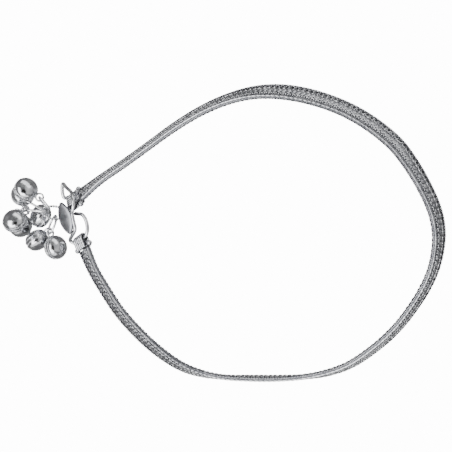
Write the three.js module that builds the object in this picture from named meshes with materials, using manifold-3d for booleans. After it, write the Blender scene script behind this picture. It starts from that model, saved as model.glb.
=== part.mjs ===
// Payal anklet: a flat woven chain strap laid as an open loop, a hook clasp with a leaf on it,
// and a bunch of seven round bells on a twisted ring. Millimetres, +Z up, lying on the plane z = 0.
import * as THREE from "three";
import Module from "manifold-3d";

const wasm = await Module();
wasm.setup();

// Woven strap
const STRAP_WIDTH = 4.9;
const STRAP_THICKNESS = 1.6;
const STRAP_CROWN = 0.45; // how far the rounding of each edge reaches in
const LINK_PITCH = 1.26;
const LINK_RELIEF = 0.12; // how much each edge draws in between two links

// The strap's route, chosen by hand: x and y of its middle line, the lean of its upper edge
// towards the inside of the loop in degrees, and how far it is lifted off the surface.
const STRAP_ROUTE = [
  [-41.3, 7.8, 56, 0.67],
  [-35, 12.2, 39, 0.1],
  [-27.4, 16.6, 36.5, 0],
  [-20.2, 21, 36, 0],
  [-13.3, 25.2, 37, 0],
  [-6, 28.9, 37.5, 0],
  [0.9, 31.4, 39, 0],
  [7.7, 32.8, 43, 0],
  [14.2, 32.9, 48, 0],
  [20.7, 31.9, 49, 0],
  [26.9, 30.1, 46, 0],
  [33.1, 27.5, 43.5, 0],
  [39.1, 23.9, 42.5, 0],
  [44.6, 19.4, 40, 0],
  [48.3, 14.8, 34.5, 0],
  [51.4, 9.8, 29, 0],
  [53.9, 4.6, 25, 0],
  [55.1, 0.1, 21, 0],
  [55.2, -4.3, 16, 0],
  [54.1, -9.7, 12, 0],
  [51.8, -14.8, 10, 0],
  [48.6, -19.7, 9, 0],
  [45, -24.1, 9, 0],
  [40.2, -28.5, 9, 0],
  [34, -32.8, 9, 0],
  [27.6, -35.3, 9, 0],
  [20.9, -36.6, 4, 0],
  [14.3, -37.2, 0, 0],
  [7.6, -37.5, 1, 0],
  [0.8, -37.6, 8, 0],
  [-6.1, -36.9, 24, 0],
  [-11.9, -35.3, 38, 0],
  [-17.8, -32.2, 48, 0],
  [-23.6, -28, 54, 0],
  [-29.5, -22.5, 57, 0],
  [-34, -16.8, 59, 0],
  [-37.6, -11.5, 60, 0.1],
  [-40.4, -5.5, 68, 0.54],
];

// Ribbed end straps, each bent round the hook and held to the woven strap by a cross pin
const END_WIDTH = 3.8;
const END_RIBS = 5;
const END_THICKNESS = 0.6;
const END_RIB_DEPTH = 0.12;
const END_OPENING = 1.5; // clear space between the two legs
const UPPER_REACH = 3; // from the pin to the hook's wire
const LOWER_REACH = 2.1;
const END_OVERLAP = 0.5; // how far the legs reach back past the pin
const PIN_RADIUS = 0.45;
const PIN_HEAD_RADIUS = 0.8;
const CLEARANCE = 0.3;

// Hook clasp: a leaf with a closed loop at its upper end, an open hook at its lower end
// and a bail behind it
const HOOK_WIRE_RADIUS = 0.5;
const LEAF_LENGTH = 8.7;
const LEAF_WIDTH = 4.5;
const LEAF_THICKNESS = 0.8;
const LEAF_DOME = 0.5;
const LEAF_CENTRE = new THREE.Vector3(-44.05, 2, 5);
const LEAF_POINTING = new THREE.Vector3(0.28, -0.95, -0.09); // from its upper tip to its lower tip
const LEAF_TILT = 12; // degrees, its right edge the higher
const BAIL_WIRE_RADIUS = 0.3;
const BAIL_HALF_WIDTH = 0.95;
const BAIL_HALF_HEIGHT = 1.95;

// Bells: two domes with a rim each, a groove between the rims and an eye at the side
const BELL_RIM_RADIUS = 3.3;
const BELL_DOME_RADIUS = 3.1;
const BELL_HALF_DEPTH = 2.65;
const BELL_BAND = 1; // from the middle of one rim to the middle of the other
const BELL_RIM_WIDTH = 0.36;
const BELL_GROOVE_RADIUS = 2.95;
const BELL_WALL = 0.3;
const BELL_SLIT_LENGTH = 4.2;
const BELL_SLIT_WIDTH = 0.5;
const BELL_SIDES = 12;
const EYE_RADIUS = 0.98;
const EYE_WIRE_RADIUS = 0.28;
const EYE_SEAT = 0.2; // how deep the eye's wire sits in the rims

// The bunch: a twisted ring through the bail, with three plain rings on it. A ring that hangs
// is given by its place round the twisted ring in turns, the point it stretches towards
// and its two half lengths; the long ring has a route of its own, chosen by hand.
const STRAND_RADIUS = 0.2;
const RING_TWISTS = 12;
const TWISTED_RING = {
  centre: new THREE.Vector3(-48.25, 3.5, 3.9),
  long: new THREE.Vector3(-0.68, 0.1, 0.72),
  short: new THREE.Vector3(0.1, 0.98, 0),
  halfLength: 3.3,
  halfWidth: 1.7,
};
const RING_WIRE_RADIUS = 0.33;
const RING_PLAY = 0.2;
const UPPER_RING = {
  turn: 0.144, towards: [-51.83, 9.25, 7.99], halfLength: 2.12, halfWidth: 1.49,
};
const LOWER_RING = {
  turn: 0.737, towards: [-50.09, -2.08, 3.87], halfLength: 2.6, halfWidth: 1.92,
};
const LONG_RING_ROUTE = [
  [-49.4, 3.7, 6.2],
  [-50, 3.85, 7.2],
  [-51.6, 4, 7.6],
  [-52.94, 4.12, 8.25],
  [-55.81, 3.82, 7.78],
  [-58.76, 3.6, 5.32],
  [-56.48, 5.22, 4.16],
  [-56.16, 3.34, 4.25],
  [-54.42, 6.35, 7.5],
  [-50.9, 4.2, 5.45],
  [-50.1, 3.8, 5.35],
];

// The bells: the ring that each hangs on, how far round it in turns,
// the point that the bell's middle lies towards, and the axis through its domes
const BELLS = [
  { ring: "upper", turn: 0.010, towards: [-53.66, 9.6, 9.15], axis: [0.72, 0.38, 0.58] },
  { ring: "long", turn: 0.512, towards: [-58.81, 8.41, 3], axis: [0.45, 0.49, 0.74] },
  { ring: "long", turn: 0.316, towards: [-56.23, 1.3, 10.56], axis: [0.19, 0.56, 0.81] },
  { ring: "long", turn: 0.453, towards: [-59.29, 0.09, 3.33], axis: [0.76, -0.41, 0.51] },
  { ring: "lower", turn: 0.911, towards: [-53.89, -3.76, 3.48], axis: [0.59, -0.8, 0.09] },
  { ring: "lower", turn: 0.107, towards: [-48.09, -5.68, 3.49], axis: [0.94, 0.13, 0.33] },
  { ring: "twisted", turn: 0.852, towards: [-53.09, 2.66, 3.04], axis: [-0.49, 0.41, 0.77] },
];

// Finishes, all of them silver
const POLISHED_SILVER = { color: 0xd9dadd, roughness: 0.12, metalness: 1 };
const WOVEN_SILVER = { color: 0xb9babd, roughness: 0.28, metalness: 1 };
const DARKENED_SILVER = { color: 0x8d8f94, roughness: 0.3, metalness: 1 };

const UP = new THREE.Vector3(0, 0, 1);
const turnsToRadians = (turns) => turns * 2 * Math.PI;
const anklet = new THREE.Group();

// General shapes

function bodyOf(points, faces) {
  const corner = new THREE.Vector3();
  const volume = faces.reduce(
    (sum, [a, b, c]) => sum + points[a].dot(corner.crossVectors(points[b], points[c])), 0);
  const outward = volume > 0 ? faces : faces.map(([a, b, c]) => [a, c, b]);
  const geometry = new THREE.BufferGeometry();
  const positions = points.flatMap((point) => point.toArray());
  geometry.setAttribute("position", new THREE.Float32BufferAttribute(positions, 3));
  geometry.setIndex(outward.flat());
  return geometry;
}

// A body through a row of frames; sectionAt gives each frame's outline as pairs of
// distances along its across and face directions.
function sweep(frames, sectionAt, closed) {
  const sections = frames.map((frame, i) => sectionAt(i));
  const around = sections[0].length;
  const points = frames.flatMap((frame, i) => sections[i].map(([a, b]) => (
    frame.origin.clone().addScaledVector(frame.across, a).addScaledVector(frame.face, b))));
  const faces = [];
  const spans = closed ? frames.length : frames.length - 1;
  for (let i = 0; i < spans; i += 1) {
    const here = i * around;
    const next = ((i + 1) % frames.length) * around;
    for (let k = 0; k < around; k += 1) {
      const after = (k + 1) % around;
      faces.push([here + k, here + after, next + after], [here + k, next + after, next + k]);
    }
  }
  if (!closed) {
    const last = (frames.length - 1) * around;
    const outline = sections[0].map(([a, b]) => new THREE.Vector2(a, b));
    const clockwise = THREE.ShapeUtils.isClockWise(outline);
    for (const [a, b, c] of THREE.ShapeUtils.triangulateShape(outline, [])) {
      const turned = clockwise ? [c, b, a] : [a, b, c];
      faces.push([turned[2], turned[1], turned[0]]);
      faces.push(turned.map((corner) => corner + last));
    }
  }
  return bodyOf(points, faces);
}

// A body of revolution about the frame's face direction, from a profile of [radius, height]
// pairs whose first and last points lie on the axis.
function turned(profile, sides, frame) {
  const third = new THREE.Vector3().crossVectors(frame.face, frame.across);
  const at = (radius, height, k) => frame.origin.clone()
    .addScaledVector(frame.across, radius * Math.cos(turnsToRadians(k / sides)))
    .addScaledVector(third, radius * Math.sin(turnsToRadians(k / sides)))
    .addScaledVector(frame.face, height);
  const points = [at(0, profile[0][1], 0)];
  const rows = profile.slice(1, -1);
  for (const [radius, height] of rows) {
    for (let k = 0; k < sides; k += 1) points.push(at(radius, height, k));
  }
  points.push(at(0, profile.at(-1)[1], 0));
  const faces = [];
  for (let k = 0; k < sides; k += 1) {
    const after = (k + 1) % sides;
    faces.push([0, 1 + k, 1 + after]);
    for (let i = 0; i < rows.length - 1; i += 1) {
      const here = 1 + i * sides;
      const next = here + sides;
      faces.push([here + k, next + k, next + after], [here + k, next + after, here + after]);
    }
    const last = 1 + (rows.length - 1) * sides;
    faces.push([last + k, points.length - 1, last + after]);
  }
  return bodyOf(points, faces);
}

function wireSection(radius, sides) {
  return Array.from({ length: sides }, (unused, k) => [
    radius * Math.cos(turnsToRadians(k / sides)), radius * Math.sin(turnsToRadians(k / sides))]);
}

function framesAlong(curve, steps, closed) {
  const { normals, binormals } = curve.computeFrenetFrames(steps, closed);
  const count = closed ? steps : steps + 1;
  return Array.from({ length: count }, (unused, i) => (
    { origin: curve.getPointAt(i / steps), across: normals[i], face: binormals[i] }));
}

function wire(curve, radius, sides, steps, closed) {
  const section = wireSection(radius, sides);
  return sweep(framesAlong(curve, steps, closed), () => section, closed);
}

function smoothThrough(points, closed) {
  return new THREE.CatmullRomCurve3(points, closed, "centripetal");
}

// An oval, given by its centre, two directions and two half lengths
function oval({ centre, long, short, halfLength, halfWidth }) {
  const curve = new THREE.Curve();
  curve.getPoint = (t, target = new THREE.Vector3()) => target.copy(centre)
    .addScaledVector(long, halfLength * Math.cos(turnsToRadians(t)))
    .addScaledVector(short, halfWidth * Math.sin(turnsToRadians(t)));
  return curve;
}

// Joining and cutting

function solidOf(geometry) {
  return new wasm.Manifold(new wasm.Mesh({
    numProp: 3,
    vertProperties: new Float32Array(geometry.getAttribute("position").array),
    triVerts: new Uint32Array(geometry.getIndex().array),
  }));
}

function geometryOf(solid) {
  const mesh = solid.getMesh();
  const geometry = new THREE.BufferGeometry();
  geometry.setAttribute("position", new THREE.BufferAttribute(mesh.vertProperties, 3));
  geometry.setIndex(new THREE.BufferAttribute(mesh.triVerts, 1));
  return geometry;
}

function add(name, geometry, finish) {
  geometry.computeVertexNormals();
  const mesh = new THREE.Mesh(geometry, new THREE.MeshStandardMaterial(finish));
  mesh.name = name;
  anklet.add(mesh);
}

// Woven strap

function strapSection(relief) {
  const halfWidth = STRAP_WIDTH / 2 - relief;
  const halfThickness = (STRAP_THICKNESS - relief) / 2;
  const flat = halfWidth - STRAP_CROWN;
  const edge = halfThickness / 2;
  return [
    [-halfWidth, -edge], [-flat, -halfThickness], [flat, -halfThickness], [halfWidth, -edge],
    [halfWidth, edge], [flat, halfThickness], [-flat, halfThickness], [-halfWidth, edge],
  ];
}

const routeCurve = new THREE.CatmullRomCurve3(
  STRAP_ROUTE.map(([x, y]) => new THREE.Vector3(x, y, 0)), false, "catmullrom", 0.5);
routeCurve.arcLengthDivisions = STRAP_ROUTE.length * 20;
const poseCurve = new THREE.CatmullRomCurve3(
  STRAP_ROUTE.map(([, , lean, lift]) => new THREE.Vector3(lean, lift, 0)), false, "catmullrom", 0.5);

// The strap's frame at a share of its length: across runs from its lower, outer edge
// to its upper, inner edge, and face is the side that shows from above.
function strapFrame(share) {
  const t = routeCurve.getUtoTmapping(share);
  const origin = routeCurve.getPoint(t);
  const along = routeCurve.getTangent(t);
  const inward = new THREE.Vector3(along.y, -along.x, 0);
  const pose = poseCurve.getPoint(t);
  const lean = THREE.MathUtils.degToRad(pose.x);
  const across = inward.clone().multiplyScalar(Math.sin(lean)).addScaledVector(UP, Math.cos(lean));
  const face = inward.clone().multiplyScalar(-Math.cos(lean)).addScaledVector(UP, Math.sin(lean));
  const lowest = Math.min(...strapSection(0).map(([a, b]) => a * across.z + b * face.z));
  origin.z = Math.max(pose.y, 0) - lowest;
  return { origin, along, across, face };
}

function wovenBand() {
  const length = routeCurve.getLength();
  const endGap = PIN_RADIUS + CLEARANCE;
  const links = Math.round((length - 2 * endGap) / LINK_PITCH);
  const frames = [];
  for (let i = 0; i <= 2 * links; i += 1) {
    frames.push(strapFrame((endGap + (length - 2 * endGap) * i / (2 * links)) / length));
  }
  return sweep(frames, (i) => strapSection(i % 2 === 1 ? 0 : LINK_RELIEF), false);
}

// End straps and pins

// The frame at one end of the strap: along points out of it, towards the hook
function endFrame(share, reach) {
  const frame = strapFrame(share);
  const along = share === 0 ? frame.along.clone().negate() : frame.along;
  return { ...frame, along, reach };
}

function place(frame, along, across, out) {
  return frame.origin.clone().addScaledVector(frame.along, along)
    .addScaledVector(frame.across, across).addScaledVector(frame.face, out);
}

function ribbedSection() {
  const ribWidth = END_WIDTH / END_RIBS;
  const crest = END_THICKNESS / 2;
  const valley = crest - END_RIB_DEPTH;
  const top = [];
  for (let i = 0; i <= 2 * END_RIBS; i += 1) {
    top.push([i * ribWidth / 2 - END_WIDTH / 2, i % 2 === 1 ? crest : valley]);
  }
  const bottom = top.map(([a, b]) => [-a, -b]);
  return [...top, ...bottom];
}

function endStrap(frame) {
  const offset = (END_OPENING + END_THICKNESS) / 2;
  const bendSteps = 8;
  const stations = [{ at: [-END_OVERLAP, offset], out: [0, 1] }];
  for (let i = 0; i <= bendSteps; i += 1) {
    const angle = Math.PI * (0.5 - i / bendSteps);
    const out = [Math.cos(angle), Math.sin(angle)];
    stations.push({ at: [frame.reach + offset * out[0], offset * out[1]], out });
  }
  stations.push({ at: [-END_OVERLAP, -offset], out: [0, -1] });
  const frames = stations.map(({ at, out }) => ({
    origin: place(frame, at[0], 0, at[1]),
    across: frame.across,
    face: frame.along.clone().multiplyScalar(out[0]).addScaledVector(frame.face, out[1]),
  }));
  const section = ribbedSection();
  return sweep(frames, () => section, false);
}

function crossPin(frame) {
  const headPlace = END_WIDTH / 2 + CLEARANCE + PIN_HEAD_RADIUS;
  const diagonal = PIN_HEAD_RADIUS * Math.SQRT1_2;
  const neck = headPlace - Math.sqrt(PIN_HEAD_RADIUS ** 2 - PIN_RADIUS ** 2);
  const half = [
    [0, headPlace + PIN_HEAD_RADIUS], [diagonal, headPlace + diagonal],
    [PIN_HEAD_RADIUS, headPlace], [PIN_RADIUS, neck],
  ];
  const profile = [...half, ...half.map(([radius, height]) => [radius, -height]).reverse()];
  return turned(profile, 10, { origin: frame.origin, across: frame.along, face: frame.across });
}

// Hook clasp

const leafLong = LEAF_POINTING.clone().normalize();
const leafWide = new THREE.Vector3(
  Math.cos(THREE.MathUtils.degToRad(LEAF_TILT)), 0, Math.sin(THREE.MathUtils.degToRad(LEAF_TILT)));
leafWide.addScaledVector(leafLong, -leafWide.dot(leafLong)).normalize();
const leafFace = new THREE.Vector3().crossVectors(leafLong, leafWide);

function leafPoint(longShare, wideShare, out) {
  return LEAF_CENTRE.clone().addScaledVector(leafLong, longShare * LEAF_LENGTH / 2)
    .addScaledVector(leafWide, wideShare * LEAF_WIDTH / 2).addScaledVector(leafFace, out);
}

function leaf() {
  const stations = [-1, -0.92, -0.75, -0.5, -0.25, 0, 0.25, 0.5, 0.75, 0.92, 1];
  const fullness = 0.8;
  const tipShare = 0.06;
  const frames = stations.map((share) => (
    { origin: leafPoint(share, 0, 0), across: leafWide, face: leafFace }));
  return sweep(frames, (i) => {
    const share = Math.max((1 - stations[i] ** 2) ** fullness, tipShare);
    const half = LEAF_WIDTH / 2 * share;
    const edge = LEAF_THICKNESS / 2;
    return [[-half, -edge], [0, -edge], [half, -edge], [half, edge],
      [0, edge + LEAF_DOME * share], [-half, edge]];
  }, false);
}

// The wire runs straight through the bend of each end strap, along the strap's width;
// its other points are set out by hand from that bend.
function wirePoints(frame, offsets) {
  const bend = { ...frame, origin: place(frame, frame.reach, 0, 0) };
  return offsets.map(([along, across, out]) => place(bend, along, across, out));
}

const wireExit = END_WIDTH / 2 + HOOK_WIRE_RADIUS + 0.1;

function closedLoop(frame) {
  return smoothThrough(wirePoints(frame, [
    [0, -wireExit, 0],
    [0, 0, 0],
    [0, wireExit, 0],
    [0.2, 3.9, 0.4],
    [-0.9, 3.5, 1.5],
    [-1.5, 1.9, 2.2],
    [-1.4, -0.4, 2.3],
    [-0.5, -3.2, 2.5],
    [0.6, -5.2, 2.9],
    [1.6, -4.6, 2.2],
    [1.6, -3.1, 1],
  ]), true);
}

function openHook(frame, start) {
  return smoothThrough([
    start,
    leafPoint(0.25, 0.93, -LEAF_THICKNESS / 2),
    leafPoint(0.8, 0.75, -LEAF_THICKNESS / 2),
    ...wirePoints(frame, [
      [0.4, -3.4, 1],
      [0, -wireExit, 0],
      [0, 0, 0],
      [0, wireExit, 0],
      [1.2, 3.8, -0.3],
      [3.5, 4.2, -0.65],
      [5.5, 3.7, -0.65],
      [6.4, 2.4, -0.35],
    ]),
  ], false);
}

function hookClasp(upperEnd, lowerEnd, ringEnd) {
  const rise = BAIL_HALF_HEIGHT - BAIL_WIRE_RADIUS - 2 * STRAND_RADIUS - RING_PLAY;
  const bail = oval({
    centre: ringEnd.clone().addScaledVector(UP, rise),
    long: UP,
    short: new THREE.Vector3(1, 0, 0),
    halfLength: BAIL_HALF_HEIGHT,
    halfWidth: BAIL_HALF_WIDTH,
  });
  const hookStart = wirePoints(upperEnd, [[0.2, 3.9, 0.4]])[0];
  return geometryOf(solidOf(leaf())
    .add(solidOf(wire(closedLoop(upperEnd), HOOK_WIRE_RADIUS, 6, 44, true)))
    .add(solidOf(wire(openHook(lowerEnd, hookStart), HOOK_WIRE_RADIUS, 6, 40, false)))
    .add(solidOf(wire(bail, BAIL_WIRE_RADIUS, 6, 16, true))));
}

// Rings of the bunch

const twistedCurve = oval(TWISTED_RING);

// A ring that hangs on the twisted ring, with its end just clear of the wire
function hangingOval({ turn, towards, halfLength, halfWidth }) {
  const held = twistedCurve.getPoint(turn);
  const long = new THREE.Vector3(...towards).sub(held).normalize();
  const short = new THREE.Vector3().crossVectors(twistedCurve.getTangent(turn), long).normalize();
  const inside = halfLength - RING_WIRE_RADIUS - 2 * STRAND_RADIUS - RING_PLAY;
  return oval({ centre: held.addScaledVector(long, inside), long, short, halfLength, halfWidth });
}

const ringCurves = {
  twisted: twistedCurve,
  upper: hangingOval(UPPER_RING),
  lower: hangingOval(LOWER_RING),
  long: smoothThrough(LONG_RING_ROUTE.map((point) => new THREE.Vector3(...point)), true),
};

function plainRing(name, steps) {
  return wire(ringCurves[name], RING_WIRE_RADIUS, 6, steps, true);
}

function twistedRing() {
  const stepsPerTwist = 5;
  const steps = RING_TWISTS * stepsPerTwist;
  const corners = [[2, 0], [1, 1], [-1, 1], [-2, 0], [-1, -1], [1, -1]];
  return sweep(framesAlong(twistedCurve, steps, true), (i) => {
    const angle = turnsToRadians(i / stepsPerTwist);
    return corners.map(([a, b]) => [
      STRAND_RADIUS * (a * Math.cos(angle) - b * Math.sin(angle)),
      STRAND_RADIUS * (a * Math.sin(angle) + b * Math.cos(angle))]);
  }, true);
}

// Bells

function domeProfile(radius, base, top, steps) {
  return Array.from({ length: steps + 1 }, (unused, i) => {
    const angle = Math.PI / 2 * (1 - i / steps);
    return [i === 0 ? 0 : radius * Math.cos(angle), base + (top - base) * Math.sin(angle)];
  });
}

function mirrored(half) {
  return [...half, ...half.map(([radius, height]) => [radius, -height]).reverse()];
}

function bell({ ring, turn, towards, axis }) {
  const curve = ringCurves[ring];
  const eyeCentre = curve.getPoint(turn);
  const hang = new THREE.Vector3(...towards).sub(eyeCentre).normalize();
  const reach = BELL_RIM_RADIUS - EYE_SEAT + EYE_RADIUS;
  const face = new THREE.Vector3(...axis);
  face.addScaledVector(hang, -face.dot(hang)).normalize();
  const frame = { origin: eyeCentre.clone().addScaledVector(hang, reach), across: hang, face };

  const rimTop = (BELL_BAND + BELL_RIM_WIDTH) / 2;
  const rimBottom = (BELL_BAND - BELL_RIM_WIDTH) / 2;
  const outer = turned(mirrored([
    ...domeProfile(BELL_DOME_RADIUS, rimTop, BELL_HALF_DEPTH, 4),
    [BELL_RIM_RADIUS, rimTop - BELL_RIM_WIDTH / 4],
    [BELL_RIM_RADIUS, rimBottom],
    [BELL_GROOVE_RADIUS, rimBottom - BELL_RIM_WIDTH / 4],
  ]), BELL_SIDES, frame);
  const inner = turned(mirrored(domeProfile(
    BELL_GROOVE_RADIUS - BELL_WALL, 0.1, BELL_HALF_DEPTH - BELL_WALL, 2)), BELL_SIDES, frame);

  const third = new THREE.Vector3().crossVectors(face, hang);
  const slitCorners = [[-1, -1], [1, -1], [1, 1], [-1, 1]].map(([a, b]) => [
    a * BELL_SLIT_WIDTH / 2, b * BELL_SLIT_LENGTH / 2]);
  const slit = sweep([-BELL_HALF_DEPTH - BELL_WALL, -BELL_BAND / 2].map((height) => (
    { origin: frame.origin.clone().addScaledVector(face, height), across: hang, face: third }
  )), () => slitCorners, false);

  const eye = wire(oval({
    centre: eyeCentre,
    long: hang,
    short: new THREE.Vector3().crossVectors(curve.getTangent(turn), hang).normalize(),
    halfLength: EYE_RADIUS,
    halfWidth: EYE_RADIUS,
  }), EYE_WIRE_RADIUS, 6, 10, true);
  return geometryOf(
    solidOf(outer).subtract(solidOf(inner)).subtract(solidOf(slit)).add(solidOf(eye)));
}

// Everything is built, then centred over the origin

const upperEnd = endFrame(0, UPPER_REACH);
const lowerEnd = endFrame(1, LOWER_REACH);

add("woven_band", wovenBand(), WOVEN_SILVER);
add("end_strap_upper", endStrap(upperEnd), DARKENED_SILVER);
add("end_strap_lower", endStrap(lowerEnd), DARKENED_SILVER);
add("cross_pin_upper", crossPin(upperEnd), DARKENED_SILVER);
add("cross_pin_lower", crossPin(lowerEnd), DARKENED_SILVER);
add("leaf_hook", hookClasp(upperEnd, lowerEnd, twistedCurve.getPoint(0.5)), POLISHED_SILVER);
add("twisted_ring", twistedRing(), POLISHED_SILVER);
add("upper_ring", plainRing("upper", 16), POLISHED_SILVER);
add("lower_ring", plainRing("lower", 16), POLISHED_SILVER);
add("long_ring", plainRing("long", 30), POLISHED_SILVER);
BELLS.forEach((row, i) => add(`bell_${i + 1}`, bell(row), POLISHED_SILVER));

const extent = new THREE.Box3().setFromObject(anklet);
const middle = extent.getCenter(new THREE.Vector3());
anklet.position.set(-middle.x, -middle.y, -extent.min.z);

export default anklet;
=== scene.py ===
"""The looks of a silver payal anklet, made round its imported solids: the woven strap, its end
straps and pins, the leaf hook, the rings, the round bells, and a plain stage."""

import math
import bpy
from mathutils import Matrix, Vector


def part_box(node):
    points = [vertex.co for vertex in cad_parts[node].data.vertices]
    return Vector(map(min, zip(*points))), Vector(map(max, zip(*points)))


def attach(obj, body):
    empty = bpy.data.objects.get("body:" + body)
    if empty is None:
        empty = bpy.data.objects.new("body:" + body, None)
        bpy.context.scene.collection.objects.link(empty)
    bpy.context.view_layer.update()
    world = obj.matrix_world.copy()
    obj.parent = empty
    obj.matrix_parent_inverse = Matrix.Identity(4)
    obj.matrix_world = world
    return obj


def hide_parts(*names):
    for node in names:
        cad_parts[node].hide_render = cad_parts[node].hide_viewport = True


bl_info = {
    "name": "Payal Anklet",
    "version": (1, 0, 0),
    "blender": (4, 5, 0),
    "location": "3D View > Sidebar > Anklet",
    "description": "Dresses the anklet's solids in woven and polished silver",
    "category": "Add Mesh",
}

from functools import partial

import bpy
from mathutils import Matrix, Quaternion, Vector

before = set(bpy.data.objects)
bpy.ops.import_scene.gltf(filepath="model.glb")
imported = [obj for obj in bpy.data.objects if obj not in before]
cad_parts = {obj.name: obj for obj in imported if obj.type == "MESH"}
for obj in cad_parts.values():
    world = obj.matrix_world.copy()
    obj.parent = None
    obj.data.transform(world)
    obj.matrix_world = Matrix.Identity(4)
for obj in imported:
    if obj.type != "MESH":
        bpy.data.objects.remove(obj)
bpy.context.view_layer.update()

# Lengths below are in millimetres, in the coordinates that the strap's route was drawn in.
MM = 0.001
# Depth of the surface grain on the silver, in metres
GRAIN_DEPTH = 0.00005

# Woven strap: the same sizes and route as the solids have.
STRAP_WIDTH = 4.9
STRAP_THICKNESS = 1.6
STRAP_CROWN = 0.45
LINK_PITCH = 1.26
LINK_RELIEF = 0.12
# x and y of the middle line, lean of the upper edge in degrees, lift off the surface
STRAP_ROUTE = [
    (-41.3, 7.8, 56, 0.67),
    (-35, 12.2, 39, 0.1),
    (-27.4, 16.6, 36.5, 0),
    (-20.2, 21, 36, 0),
    (-13.3, 25.2, 37, 0),
    (-6, 28.9, 37.5, 0),
    (0.9, 31.4, 39, 0),
    (7.7, 32.8, 43, 0),
    (14.2, 32.9, 48, 0),
    (20.7, 31.9, 49, 0),
    (26.9, 30.1, 46, 0),
    (33.1, 27.5, 43.5, 0),
    (39.1, 23.9, 42.5, 0),
    (44.6, 19.4, 40, 0),
    (48.3, 14.8, 34.5, 0),
    (51.4, 9.8, 29, 0),
    (53.9, 4.6, 25, 0),
    (55.1, 0.1, 21, 0),
    (55.2, -4.3, 16, 0),
    (54.1, -9.7, 12, 0),
    (51.8, -14.8, 10, 0),
    (48.6, -19.7, 9, 0),
    (45, -24.1, 9, 0),
    (40.2, -28.5, 9, 0),
    (34, -32.8, 9, 0),
    (27.6, -35.3, 9, 0),
    (20.9, -36.6, 4, 0),
    (14.3, -37.2, 0, 0),
    (7.6, -37.5, 1, 0),
    (0.8, -37.6, 8, 0),
    (-6.1, -36.9, 24, 0),
    (-11.9, -35.3, 38, 0),
    (-17.8, -32.2, 48, 0),
    (-23.6, -28, 54, 0),
    (-29.5, -22.5, 57, 0),
    (-34, -16.8, 59, 0),
    (-37.6, -11.5, 60, 0.1),
    (-40.4, -5.5, 68, 0.54),
]

# Core of the strap inside the weave, dark as painted shade for the gaps between the links, and the thin
# bulging strip near its upper edge
CORE_HALF_WIDTH = 2.3
CORE_HALF_THICKNESS = 0.58
CORE_CROWN = 0.4
RAIL_ACROSS = 2.02
RAIL_OUT = 0.42
RAIL_HALF_WIDTH = 0.2
RAIL_HALF_HEIGHT = 0.3
RAIL_SWELLS = (0.55, 0.92, 1, 0.92)
# Short bars of the weave: half length, half width, half height, sides, arch
WEAVE_BARS = {
    "v_bar": (0.36, 0.17, 0.16, 6, 0.05),
    "lane_bar": (0.32, 0.13, 0.16, 6, 0.06),
    "comb_bar": (0.4, 0.13, 0.19, 6, 0.14),
    "bottom_bar": (0.6, 0.14, 0.17, 6, 0.28),
    "inner_bar": (0.58, 0.13, 0.17, 6, 0.2),
    "back_bar": (0.6, 0.38, 0.22, 7, 0.06),
}
# No small piece stands nearer than this to the strap's ends.
ROW_MARGIN = 0.2
# Rows of the weave: name, small piece, finish, how far across and out from the middle line, the
# side it faces, pieces to a link, shift in pieces, slant in degrees, share of the comb slant,
# share of the unevenness, step of the seed
WEAVE_ROWS = [
    ("scales", "scale", "scale", 0.02, 0.54, "face", 1, 0, 0, 0, 1, 0),
    ("scale_rings", "scale_ring", "wire", 0.02, 0.62, "face", 1, 0, 0, 0, 0.5, 0),
    ("eyelets", "eyelet", "weave", -1.26, 0.6, "face", 1, -0.5, 0, 0, 1, 1),
    ("v_left", "v_bar", "wire", 0.98, 0.63, "face", 1, 0.67, 40, 0, 1, 2),
    ("v_right", "v_bar", "wire", 0.98, 0.63, "face", 1, 0.33, -40, 0, 1, 2),
    ("lane", "lane_bar", "scale", 1.56, 0.56, "face", 3, 0, 0, -1, 1, 3),
    ("outer_comb", "comb_bar", "weave", -1.96, 0.5, "face", 3, 0, 0, -1, 1, 4),
    ("bottom_comb", "bottom_bar", "weave", -2.24, 0.02, "bottom", 3, 0, 0, 1 / 2, 1, 5),
    ("inner_comb", "inner_bar", "scale", 2.25, -0.08, "top", 3, 0, 0, 1 / 3, 1, 6),
    ("back_1", "back_bar", "weave", -1.6, -0.56, "back", 1, 0, -35, 0, 1, 7),
    ("back_2", "back_bar", "weave", -0.55, -0.56, "back", 1, 0.5, 35, 0, 1, 8),
    ("back_3", "back_bar", "weave", 0.55, -0.56, "back", 1, 0, -35, 0, 1, 9),
    ("back_4", "back_bar", "weave", 1.6, -0.56, "back", 1, 0.5, 35, 0, 1, 10),
]

# End straps and pins
END_WIDTH = 3.8
END_RIBS = 5
END_THICKNESS = 0.6
END_GROOVE_DEPTH = 0.168
END_OPENING = 1.5
UPPER_REACH = 3
LOWER_REACH = 2.1
END_OVERLAP = 0.5
PIN_RADIUS = 0.45
PIN_HEAD_RADIUS = 0.74
CLEARANCE = 0.3

# Leaf hook
HOOK_WIRE_RADIUS = 0.5
WIRE_SIDES = 14
LEAF_LENGTH = 8.7
LEAF_WIDTH = 4.5
LEAF_THICKNESS = 0.8
LEAF_DOME = 0.3
LEAF_EDGE_FALL = 0.12
LEAF_BACK_BEVEL = 0.1
LEAF_CENTRE = Vector((-44.05, 2, 5))
LEAF_POINTING = Vector((0.28, -0.95, -0.09))
LEAF_TILT = 12
BAIL_WIRE_RADIUS = 0.3
BAIL_HALF_WIDTH = 0.95
BAIL_HALF_HEIGHT = 1.95
WIRE_EXIT = END_WIDTH / 2 + HOOK_WIRE_RADIUS + 0.1
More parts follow.
